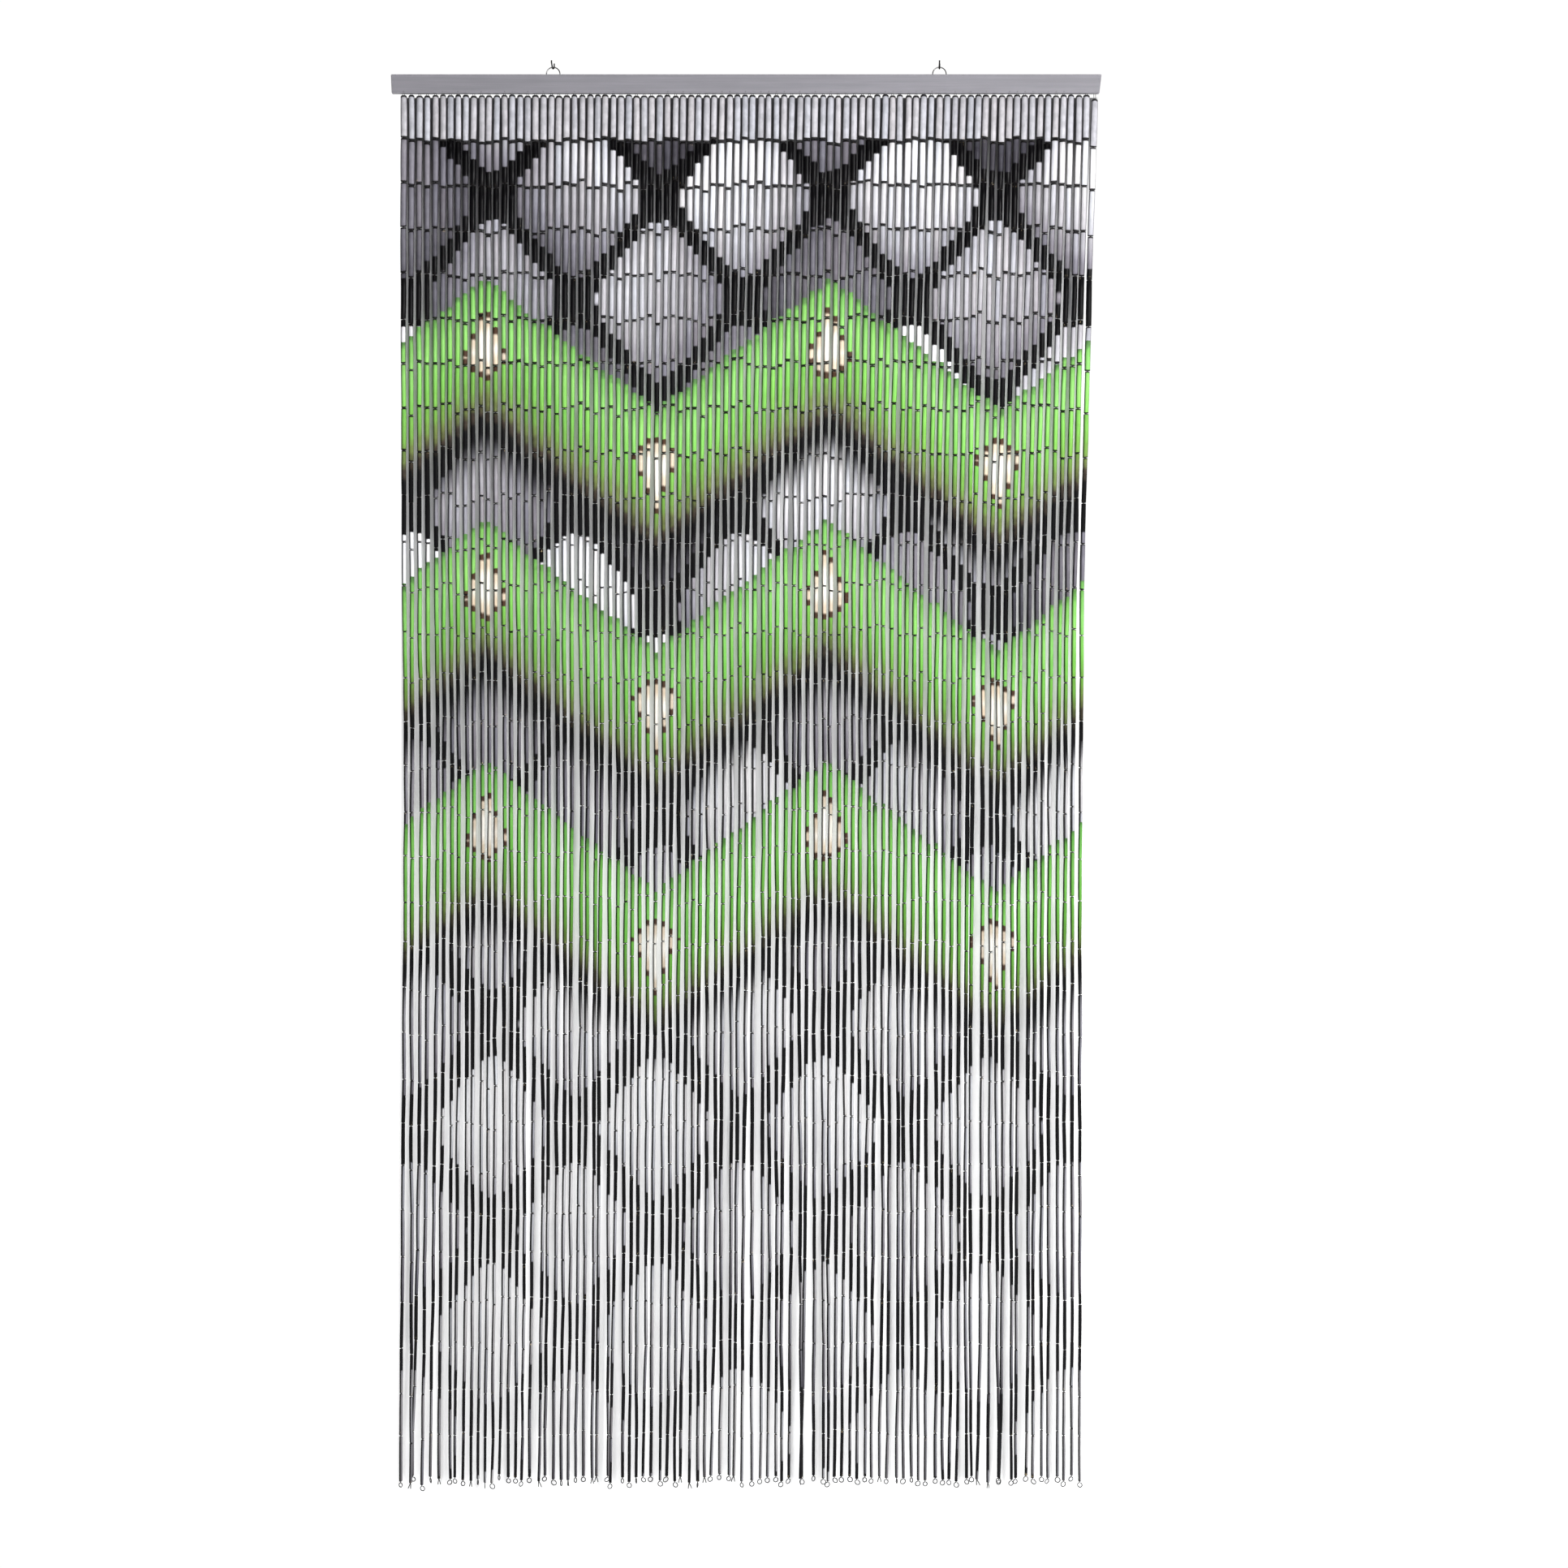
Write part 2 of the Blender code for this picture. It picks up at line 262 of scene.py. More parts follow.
class Wires:
    """Many wire bits, each a path swept by a small polygon, gathered in one mesh."""

    def __init__(self):
        self.points, self.loops, self.sizes, self.uv, self.seeds, self.count = [], [], [], [], [], 0

    def add(self, path, radius, sides, closed=False, seed=0.0):
        path = np.asarray(path, float)
        n = len(path)
        if closed:
            ahead = np.roll(path, -1, 0) - np.roll(path, 1, 0)
        else:
            ahead = np.gradient(path, axis=0)
        ahead /= np.linalg.norm(ahead, axis=1)[:, None]
        centre = path.mean(0)
        if closed:
            out = path - centre
            out -= ahead * (out * ahead).sum(1)[:, None]
        else:
            plane = np.cross(path[0] - centre, path[n // 2] - centre)
            if np.linalg.norm(plane) < 1e-9:
                plane = np.array((0.0, 1.0, 0.0)) if abs(ahead[0][1]) < 0.9 else np.array((1.0, 0.0, 0.0))
            out = np.cross(ahead, plane)
        out /= np.linalg.norm(out, axis=1)[:, None]
        side = np.cross(ahead, out)
        turn = np.arange(sides) * 2 * math.pi / sides
        ring = path[:, None] + radius * (out[:, None] * np.cos(turn)[None, :, None] + side[:, None] * np.sin(turn)[None, :, None])
        base = self.count
        self.points.append(ring.reshape(-1, 3))
        a = np.arange(n if closed else n - 1)[:, None]
        b = np.arange(sides)[None]
        c, d = (a + 1) % n, (b + 1) % sides
        quads = np.stack((a * sides + b, a * sides + d, c * sides + d, c * sides + b), -1).reshape(-1, 4)
        self.loops.append((quads + base).ravel())
        self.sizes.append(np.full(len(quads), 4))
        ua, ub = (a + 0 * b) / len(a), (b + 0 * a) / sides
        wa, wb = ua + 1.0 / len(a), ub + 1.0 / sides
        uv = np.stack((np.stack((ua, ub), -1), np.stack((ua, wb), -1), np.stack((wa, wb), -1), np.stack((wa, ub), -1)), -2).reshape(-1, 2)
        if not closed:
            for first, order in ((0, np.arange(sides)[::-1]), ((n - 1) * sides, np.arange(sides))):
                self.loops.append(base + first + order)
                self.sizes.append(np.array([sides]))
                spot = np.stack((0.5 + 0.5 * np.cos(turn), 0.5 + 0.5 * np.sin(turn)), 1) * 0.06 + (0.02 if first else 0.9, -0.12)
                uv = np.concatenate((uv, spot))
        self.uv.append(uv)
        self.seeds.append(np.full(n * sides, seed))
        self.count += n * sides

    def object(self, name, material):
        corners, size = cells(len(self.uv), 1.0)
        maps = [c + size * (0.08 + 0.84 * (u * (1.0, 0.84) + (0.0, 0.14))) for c, u in zip(corners, self.uv)]
        seeds = np.concatenate(self.seeds)
        sizes = np.concatenate(self.sizes)
        return build(
            name, np.concatenate(self.points) * 0.001, np.concatenate(self.loops), sizes,
            np.ones(len(sizes), bool), np.concatenate(maps),
            {"chance": np.stack((seeds, (seeds * 7.31) % 1.0, (seeds * 3.77) % 1.0), 1)}, material,
        )


# ---------------------------------------------------------------- shader helpers
def srgb(r, g, b):
    """A colour as the eye reads it, 0 to 255, in the shader's linear values."""
    return tuple(c / 12.92 if c <= 0.04045 else ((c + 0.055) / 1.055) ** 2.4 for c in (r / 255, g / 255, b / 255))


class Num:
    """A number in a material's nodes that can be added, multiplied and compared."""

    def __init__(self, tree, socket):
        self.tree, self.socket = tree, socket

    def to(self, operation, *others, clamp=False, first=None):
        node = self.tree.nodes.new("ShaderNodeMath")
        node.operation, node.use_clamp = operation, clamp
        inputs = (self, *others) if first is None else (first, self, *others)
        for into, value in zip(node.inputs, inputs):
            if isinstance(value, Num):
                self.tree.links.new(value.socket, into)
            else:
                into.default_value = value
        return Num(self.tree, node.outputs[0])

    def __add__(self, o): return self.to("ADD", o)
    def __radd__(self, o): return self.to("ADD", o)
    def __sub__(self, o): return self.to("SUBTRACT", o)
    def __rsub__(self, o): return self.to("SUBTRACT", first=o)
    def __mul__(self, o): return self.to("MULTIPLY", o)
    def __rmul__(self, o): return self.to("MULTIPLY", o)
    def __truediv__(self, o): return self.to("DIVIDE", o)

    def step(self, low, high, a=0.0, b=1.0, smooth=True):
        """a below low, b above high, and a soft change between them."""
        node = self.tree.nodes.new("ShaderNodeMapRange")
        node.interpolation_type = "SMOOTHSTEP" if smooth else "LINEAR"
        self.tree.links.new(self.socket, node.inputs["Value"])
        for key, value in (("From Min", low), ("From Max", high), ("To Min", a), ("To Max", b)):
            if isinstance(value, Num):
                self.tree.links.new(value.socket, node.inputs[key])
            else:
                node.inputs[key].default_value = value
        return Num(self.tree, node.outputs["Result"])


class Paint:
    """The nodes of one material."""

    def __init__(self, material):
        material.use_nodes = True
        self.tree = material.node_tree
        self.tree.nodes.clear()
        self.out = self.tree.nodes.new("ShaderNodeOutputMaterial")
        self.shader = self.tree.nodes.new("ShaderNodeBsdfPrincipled")
        self.tree.links.new(self.shader.outputs[0], self.out.inputs["Surface"])

    def vector(self, name):
        node = self.tree.nodes.new("ShaderNodeAttribute")
        node.attribute_name = name
        split = self.tree.nodes.new("ShaderNodeSeparateXYZ")
        self.tree.links.new(node.outputs["Vector"], split.inputs[0])
        return [Num(self.tree, s) for s in split.outputs]

    def place(self):
        """The object's own coordinates, in metres."""
        node = self.tree.nodes.new("ShaderNodeTexCoord")
        split = self.tree.nodes.new("ShaderNodeSeparateXYZ")
        self.tree.links.new(node.outputs["Object"], split.inputs[0])
        return [Num(self.tree, s) for s in split.outputs]

    def join(self, x, y, z):
        node = self.tree.nodes.new("ShaderNodeCombineXYZ")
        for into, value in zip(node.inputs, (x, y, z)):
            if isinstance(value, Num):
                self.tree.links.new(value.socket, into)
            else:
                into.default_value = value
        return node.outputs[0]

    def noise(self, where, scale, detail=2.0, rough=0.5):
        node = self.tree.nodes.new("ShaderNodeTexNoise")
        self.tree.links.new(where, node.inputs["Vector"])
        node.inputs["Scale"].default_value = scale
        node.inputs["Detail"].default_value = detail
        node.inputs["Roughness"].default_value = rough
        return Num(self.tree, node.outputs["Fac"])

    def dice(self, x, y, z=0.0):
        """A number from 0 to 1 for each whole place."""
        node = self.tree.nodes.new("ShaderNodeTexWhiteNoise")
        node.noise_dimensions = "3D"
        self.tree.links.new(self.join(x, y, z), node.inputs["Vector"])
        return Num(self.tree, node.outputs["Value"])

    def colour(self, value):
        return value

    def mix(self, share, a, b, kind="MIX"):
        node = self.tree.nodes.new("ShaderNodeMix")
        node.data_type, node.blend_type, node.clamp_factor = "RGBA", kind, True
        for into, value in ((node.inputs[0], share), (node.inputs[6], a), (node.inputs[7], b)):
            if isinstance(value, Num):
                self.tree.links.new(value.socket, into)
            elif isinstance(value, bpy.types.NodeSocket):
                self.tree.links.new(value, into)
            elif isinstance(value, tuple):
                into.default_value = (*value, 1.0)
            else:
                into.default_value = value
        return node.outputs[2]

    def grey(self, value):
        """A number as a grey colour."""
        node = self.tree.nodes.new("ShaderNodeCombineColor")
        for into in node.inputs[:3]:
            self.tree.links.new(value.socket, into)
        return node.outputs[0]

    def three(self, r, g, b):
        node = self.tree.nodes.new("ShaderNodeCombineColor")
        for into, value in zip(node.inputs, (r, g, b)):
            if isinstance(value, Num):
                self.tree.links.new(value.socket, into)
            else:
                into.default_value = value
        return node.outputs[0]

    def ramp(self, value, stops, kind="LINEAR"):
        node = self.tree.nodes.new("ShaderNodeValToRGB")
        node.color_ramp.interpolation = kind
        steps_ = node.color_ramp.elements
        while len(steps_) < len(stops):
            steps_.new(0.5)
        for element, (at, colour) in zip(steps_, stops):
            element.position = at
            element.color = (*colour, 1.0)
        self.tree.links.new(value.socket, node.inputs[0])
        return node.outputs[0]

    def set(self, key, value):
        into = self.shader.inputs[key]
        if isinstance(value, Num):
            self.tree.links.new(value.socket, into)
        elif isinstance(value, bpy.types.NodeSocket):
            self.tree.links.new(value, into)
        elif isinstance(value, tuple):
            into.default_value = (*value, 1.0)
        else:
            into.default_value = value

    def bump(self, height, distance, strength=1.0):
        node = self.tree.nodes.new("ShaderNodeBump")
        node.inputs["Strength"].default_value = strength
        node.inputs["Distance"].default_value = distance
        self.tree.links.new(height.socket, node.inputs["Height"])
        self.tree.links.new(node.outputs[0], self.shader.inputs["Normal"])


BLACK = srgb(6, 5, 7)


# ---------------------------------------------------------------- the beads' paint, with a generic print of chevrons and lozenges
def bead_paint():
    material = bpy.data.materials.new("bead_paint_printed")
    p = Paint(material)
    u, w, first = p.vector("print")  # place along the row and down the strand, in m, and 1 on the top row
    bead, strand, third = p.vector("chance")
    side, end, inner = p.vector("form")  # -1 at a tube's left to 1 at its right, distance from its nearer end in m, 1 in its bore
    x, y, z = p.place()

    grain_at = p.join(x * 1100.0 + bead * 57.0, y * 1100.0 + bead * 31.0, z * 42.0 + bead * 13.0)
    grain = p.noise(grain_at, 1.0, 3.0, 0.6)
    cloud = p.noise(p.join(x * 90.0 + bead * 17.0, y * 90.0, z * 90.0 + bead * 23.0), 1.0, 2.0)
    speck = p.noise(p.join(x * 700.0 + bead * 9.0, y * 700.0, z * 420.0), 1.0, 2.0)
    facet = p.noise(p.join(x * 330.0 + bead * 11.0, y * 330.0 + bead * 7.0, z * 34.0 + bead * 29.0), 1.0, 1.0)

    # each strand has slid a little since it was printed, so the print's edges are stepped
    down = w + (strand - 0.5) * 0.0075 + (bead - 0.5) * 0.0022 + (speck - 0.5) * 0.0022

    # lozenges with rounded corners, each with its own grey and a soft shade to its edges
    across, tall = 0.214, 0.262
    a = u / across + down / tall
    b = u / across - down / tall
    cell_a, cell_b = a.to("FLOOR"), b.to("FLOOR")
    fa, fb = (a - cell_a) - 0.5, (b - cell_b) - 0.5
    ra, rb = (fa * 2.0).to("ABSOLUTE"), (fb * 2.0).to("ABSOLUTE")
    reach = (ra.to("POWER", 5.0) + rb.to("POWER", 5.0)).to("POWER", 0.2)
    tone = p.dice(cell_a + 11.3, cell_b - 4.7)
    tone2 = p.dice(cell_a - 3.1, cell_b + 8.9, 2.0)
    high = down.step(0.75, 1.15)  # the lower lozenges are paler
    level = tone * (0.64 - high * 0.26) + 0.26 + high * 0.26
    slant = (fa + fb) * (tone2 - 0.5) * 0.9 + (fb - fa) * (0.35 + tone2 * 0.3)
    soft = reach.step(0.50, 0.86, 1.0, 0.80)
    lit = (level * soft * (1.0 + slant * 0.95) + (cloud - 0.5) * 0.12).to("MAXIMUM", 0.02).to("MINIMUM", 1.0)
    ground = p.ramp(lit, ((0.0, srgb(16, 15, 19)), (0.18, srgb(62, 60, 67)), (0.42, srgb(122, 119, 128)), (0.68, srgb(178, 177, 183)), (1.0, srgb(232, 232, 235))))
    edge = 0.872 - high * 0.100
    outline = reach.step(edge, edge + 0.014)
    ground = p.mix(outline, ground, BLACK)

    # three chevron bands, bright above and dark below, each with its shadow on the ground
    period, rise, apart, thick = 0.44, 0.165, 0.305, 0.186
    wave = ((u / period + 0.25) - (u / period + 0.25).to("FLOOR") - 0.5).to("ABSOLUTE") * 2.0
    v = (down - 0.235 - wave * rise) / apart
    row = v.to("FLOOR")
    f = (v - row) * apart
    inside = row.step(-0.6, -0.4, smooth=False) * row.step(2.4, 2.6, 1.0, 0.0, smooth=False)
    band = inside * f.step(thick - 0.0008, thick + 0.0008, 1.0, 0.0)
    t = f / thick + (cloud - 0.5) * 0.16
    green = p.ramp(t, (
        (0.0, srgb(76, 114, 64)), (0.06, srgb(112, 171, 86)), (0.25, srgb(133, 195, 104)), (0.48, srgb(117, 183, 83)),
        (0.68, srgb(107, 154, 68)), (0.80, srgb(100, 113, 64)), (0.89, srgb(58, 50, 42)), (0.96, srgb(9, 8, 10)), (1.0, srgb(6, 5, 7)),
    ))
    green = p.mix(down.step(0.45, 1.00), green, (0.79, 0.92, 0.72), "MULTIPLY")
    shadow = inside * f.step(thick + 0.006, thick + 0.066, 1.0, 0.0)
    ground = p.mix(shadow, ground, BLACK)

    # a cream lozenge with a brown edge at each turn of a band
    turn = u / (period / 2)
    across_turn = ((turn - turn.to("FLOOR")) - 0.5) * (period / 2)
    mark = across_turn.to("ABSOLUTE") / 0.031 + (f - thick * 0.44).to("ABSOLUTE") / 0.050
    mark = mark + (cloud - 0.5) * 0.10
    print_ = p.mix(band, ground, green)
    print_ = p.mix(band * mark.step(0.98, 1.01, 1.0, 0.0), print_, srgb(70, 50, 38))
    print_ = p.mix(band * mark.step(0.80, 0.88, 1.0, 0.0), print_, srgb(206, 190, 168))
    print_ = p.mix(band * mark.step(0.35, 0.72, 1.0, 0.0), print_, srgb(238, 234, 224))

    # the top row is one plain colour
    plain = p.mix(cloud.step(0.3, 0.7), srgb(172, 171, 177), srgb(193, 192, 198))
    # the print is lighter near the top and darker further down, and darker and greyer still at the foot
    fade = down.step(0.42, 1.05, 1.17, 0.74)
    print_ = p.mix(1.0, print_, p.grey(fade), "MULTIPLY")
    foot = down.step(1.42, 1.66)
    print_ = p.mix(1.0, print_, p.grey(1.0 - foot * 0.30), "MULTIPLY")
    print_ = p.mix(foot * 0.14, print_, srgb(62, 60, 65))
    paint = p.mix(first, print_, plain)

    # thin and uneven paint: a little from strand to strand, from bead to bead and along the fibres
    value = (0.90 + bead * 0.13 + strand * 0.07) * grain.step(0.25, 0.75, 0.84, 1.08, smooth=False)
    warm = (third - 0.5) * 0.05
    paint = p.mix(1.0, paint, p.three(value * (1.0 + warm), value, value * (1.0 - warm)), "MULTIPLY")
    # painted shade on each tube's sides, darkest on its left, away from the key lamp on the right
    low_down = down.step(0.95, 1.45)
    # painted shade on the right side of each tube, most on the upper rows and again low down
    limb_shade = side.step(down.step(0.04, 0.14, 0.78, 0.66), 0.98) * down.step(0.08, 0.70, 0.88, 0.25)
    paint = p.mix(limb_shade.to("MAXIMUM", side.step(0.40, 1.00) * low_down * 0.45), paint, srgb(14, 12, 15))
    green_band_less_shade = band * down.step(0.30, 0.95, 0.0, 0.44)  # less painted shade on the tube sides in the green bands
    # painted shade on the left side of each tube
    limb_shade = side.step(down.step(0.30, 1.00, -0.96, -0.22) - green_band_less_shade, down.step(0.05, 0.95, -0.56, 0.42) - green_band_less_shade, 1.0, 0.0) * 0.94
    paint = p.mix(limb_shade, paint, srgb(12, 11, 14))
    # the bare tube shows in places near the ends where the paint is rubbed off, and the cut ends are dark
    rubbed = speck.step(0.66, 0.70) * end.step(0.002, 0.006, 1.0, 0.0) * third.step(0.55, 0.6)
    paint = p.mix(rubbed * 0.8, paint, srgb(196, 176, 138))
    wide = down.step(0.14, 0.80, 0.00180, 0.00070) * (0.65 + bead * 0.7)
    dark_ends_and_top_shade = end.step(wide * 0.85, wide * 1.15, 1.0, 0.0)
    # the top row's rounded upper ends are dark: dark cut ends, and partly painted shade under the batten
    cap_dark_and_shade = side * side * 0.0014 + bead * 0.0006 + 0.0022
    cap_dark_and_shade = first * end.step(cap_dark_and_shade - 0.0002, cap_dark_and_shade + 0.0002, 1.0, 0.0) * w.step(0.030, 0.031, 1.0, 0.0)
    dark_ends_and_top_shade = dark_ends_and_top_shade.to("MAXIMUM", cap_dark_and_shade)
    paint = p.mix(dark_ends_and_top_shade * 0.95, paint, srgb(14, 12, 13))
    paint = p.mix(inner, paint, srgb(30, 24, 20))
    p.set("Base Color", paint)
    p.set("Roughness", down.step(0.05, 0.60, 0.27, 0.72) + cloud * 0.10 + dark_ends_and_top_shade * 0.20 + (third - 0.5) * 0.08)
    p.set("Specular IOR Level", 0.13)
    p.bump(grain + cloud * 0.6 + facet * 3.2, 0.00012, 0.5)
    return material


def wire_steel(name, dark, bright, rough):
    material = bpy.data.materials.new(name)
    p = Paint(material)
    x, y, z = p.place()
    drawn = p.noise(p.join(x * 900.0, y * 900.0, z * 300.0), 1.0, 3.0, 0.6)
    spots = p.noise(p.join(x * 260.0, y * 260.0, z * 260.0), 1.0, 2.0)
    p.set("Base Color", p.mix(drawn.step(0.3, 0.7) * 0.7 + spots.step(0.5, 0.7) * 0.3, srgb(*dark), srgb(*bright)))
    p.set("Metallic", 1.0)
    p.set("Roughness", rough + (spots - 0.5) * 0.2)
    p.bump(drawn, 0.00004, 0.4)
    return material


def batten_paint():
    material = bpy.data.materials.new("batten_paint_brushed")
    p = Paint(material)
    x, y, z = p.place()
    streak = p.noise(p.join(x * 9.0, y * 260.0, z * 420.0), 1.0, 4.0, 0.6)
    fine = p.noise(p.join(x * 60.0, y * 900.0, z * 1300.0), 1.0, 3.0, 0.6)
    cloud = p.noise(p.join(x * 14.0, y * 14.0, z * 60.0), 1.0, 3.0)
    speck = p.noise(p.join(x * 420.0, y * 420.0, z * 520.0), 1.0, 2.0)
    base = p.mix(streak.step(0.30, 0.72), srgb(126, 125, 131), srgb(135, 133, 140))
    base = p.mix(fine.step(0.55, 0.80) * 0.25, base, srgb(144, 142, 148))
    base = p.mix(cloud.step(0.42, 0.75) * 0.4, base, srgb(122, 120, 126))
    # the top edge is lighter, partly worn paint and partly painted highlight from light above, the bottom edge is
    # darker, and the board is marked where the strands' staples went in
    top_edge_wear_and_highlight = z.step(-0.0016, -0.0002) * speck.step(0.30, 0.62)
    base = p.mix(top_edge_wear_and_highlight * 0.6, base, srgb(172, 170, 175))
    low_edge = z.step(-0.0240, -0.0226, 1.0, 0.0) * speck.step(0.42, 0.7)
    base = p.mix(low_edge * 0.5, base, srgb(104, 100, 103))
    near = (x + 0.4341) / 0.009839
    off = (near - near.to("ROUND")) * 0.009839
    dent = (off.to("ABSOLUTE") / 0.0016 + (z + 0.0222).to("ABSOLUTE") / 0.0022).step(0.35, 1.0, 1.0, 0.0)
    which = p.dice(near.to("ROUND"), 0.0, 5.0)
    base = p.mix(dent * which.step(0.35, 0.9) * 0.5, base, srgb(92, 88, 92))
    p.set("Base Color", base)
    p.set("Roughness", 0.46 + (streak - 0.5) * 0.22)
    p.bump(streak + fine * 0.5 - dent * which * 0.8, 0.00022, 0.6)
    return material


painted = bead_paint()
joint_steel = wire_steel("joint_steel", (58, 57, 56), (98, 96, 94), 0.38)
loop_steel = wire_steel("loop_steel", (34, 34, 35), (66, 66, 66), 0.36)

# ---------------------------------------------------------------- the beads
bead_chance = chance.random((STRANDS, BEADS_PER_STRAND))
third_chance = chance.random((STRANDS, BEADS_PER_STRAND))
strand_chance = chance.random(STRANDS)
taper = np.clip(chance.normal(0.0, 0.018, (STRANDS, BEADS_PER_STRAND)), -0.04, 0.04)
bow = chance.normal(0.0, 0.10, (STRANDS, BEADS_PER_STRAND, 2))
bulge = chance.normal(0.0, 0.012, (STRANDS, BEADS_PER_STRAND, 2))
gap = JOINT_GAP * (1.0 + 0.3 * bead_share) * chance.uniform(0.7, 1.35, (STRANDS, BEADS_PER_STRAND))
gap[:, 0] += 0.3
cut = np.clip(chance.normal(0.0, 0.085, (STRANDS, BEADS_PER_STRAND + 1, 2)), -0.20, 0.20)  # slant of the two cut ends that meet at a joint
cut[:, 0] = 0.0

angles = (np.arange(SIDES) + 0.5) * 2 * math.pi / SIDES
RINGS = 10
# corner indices of one bead, with the point's own place kept for the bake map
ring_a, side_b = np.meshgrid(np.arange(RINGS - 1), np.arange(SIDES), indexing="ij")
next_b = (side_b + 1) % SIDES
bead_quads = np.stack((ring_a * SIDES + side_b, (ring_a + 1) * SIDES + side_b, (ring_a + 1) * SIDES + next_b, ring_a * SIDES + next_b), -1)
bead_loops = np.concatenate((bead_quads.reshape(-1), np.arange(SIDES), (RINGS - 1) * SIDES + np.arange(SIDES)[::-1]))
bead_sizes = np.concatenate((np.full((RINGS - 1) * SIDES, 4), [SIDES, SIDES]))
bead_smooth = np.concatenate((np.repeat([False, False, False, True, True, True, False, False, False], SIDES), [False, False]))
map_v = np.array((0.035, 0.060, 0.078, 0.092, 0.37, 0.66, 0.938, 0.952, 0.970, 0.995))[::-1]
va, vb = map_v[ring_a], map_v[ring_a + 1]
ua, ub = 0.03 + 0.94 * side_b / SIDES, 0.03 + 0.94 * (side_b + 1) / SIDES
bead_map = np.stack((np.stack((ua, va), -1), np.stack((ua, vb), -1), np.stack((ub, vb), -1), np.stack((ub, va), -1)), -2).reshape(-1, 2)
spot = np.stack((np.cos(angles), np.sin(angles)), 1) * (0.10, 0.011)
bead_map = np.concatenate((bead_map, spot + (0.25, 0.016), (spot + (0.75, 0.016))[::-1]))

STRAND_X = HANG[0][1] + (HANG[0][2] - HANG[0][1]) * np.arange(STRANDS) / (STRANDS - 1)


def bead_points(i, k):
    """Points of one bead in mm and its attributes, from the joint above it to the joint below."""
    upper = np.array((joint_x[i, k], joint_y[i, k], joint_z[i, k]))
    lower = np.array((joint_x[i, k + 1], joint_y[i, k + 1], joint_z[i, k + 1]))
    run = lower - upper
    reach = np.linalg.norm(run)
    down = run / reach
    start = upper + down * (0.0 if k == 0 else gap[i, k - 1] / 2)
    length = reach - (0.0 if k == 0 else gap[i, k - 1] / 2) - gap[i, k] / 2
    right = np.array((1.0, 0.0, 0.0)) - down * down[0]
    right /= np.linalg.norm(right)
    back = np.cross(-down, right)
    r = widths[i, k] / 2
    if k == 0:  # the top row's upper ends are rounded over
        t = np.array((3.0, 0.5, 0.0, 1.5, 0.32 * length, 0.66 * length, length - 0.45, length, length - 0.15, length - 2.2))
        f = np.array((0.40, 0.44, 0.60, 0.93, 1.0, 1.0, 0.97, 0.82, 0.46, 0.42))
    else:
        t = np.array((2.2, 0.15, 0.0, 0.45, 0.31 * length, 0.67 * length, length - 0.45, length, length - 0.15, length - 2.2))
        f = np.array((0.42, 0.46, 0.82, 0.97, 1.0, 1.0, 0.97, 0.82, 0.46, 0.42))
    f = f * (1.0 + taper[i, k] * (t / length * 2 - 1))
    f[4] += bulge[i, k, 0]
    f[5] += bulge[i, k, 1]
    lean = np.zeros((RINGS, 2))
    lean[4:6] = bow[i, k]
    centre = start + down * t[:, None] + right * lean[:, :1] + back * lean[:, 1:]
    around = (right * np.cos(angles)[:, None] + back * np.sin(angles)[:, None])[None]
    points = centre[:, None] + r * f[:, None, None] * around
    for rings, joint in ((slice(0, 4), k), (slice(6, 10), k + 1)):
        slant = cut[i, joint, 0] * np.cos(angles) + cut[i, joint, 1] * np.sin(angles)
        points[rings] += down * (r * f[rings, None] * slant[None])[..., None]
    ends = np.minimum(t, length - t)
    ends[[0, 1, 2, 7, 8, 9]] = 0.0
    inner = np.zeros(RINGS)
    inner[[0, 1, 8, 9]] = 1.0
    form = np.stack((
        np.broadcast_to(np.cos(angles), (RINGS, SIDES)),
        np.broadcast_to(ends[:, None] * 0.001, (RINGS, SIDES)),
        np.broadcast_to(inner[:, None], (RINGS, SIDES)),
    ), -1)
    print_ = np.stack((
        np.full((RINGS, SIDES), STRAND_X[i] * 0.001),
        -(points[..., 2] + 24.0) * 0.001,
        np.full((RINGS, SIDES), 1.0 if k == 0 else 0.0),
    ), -1)
    return points.reshape(-1, 3), form.reshape(-1, 3), print_.reshape(-1, 3), start, down, length


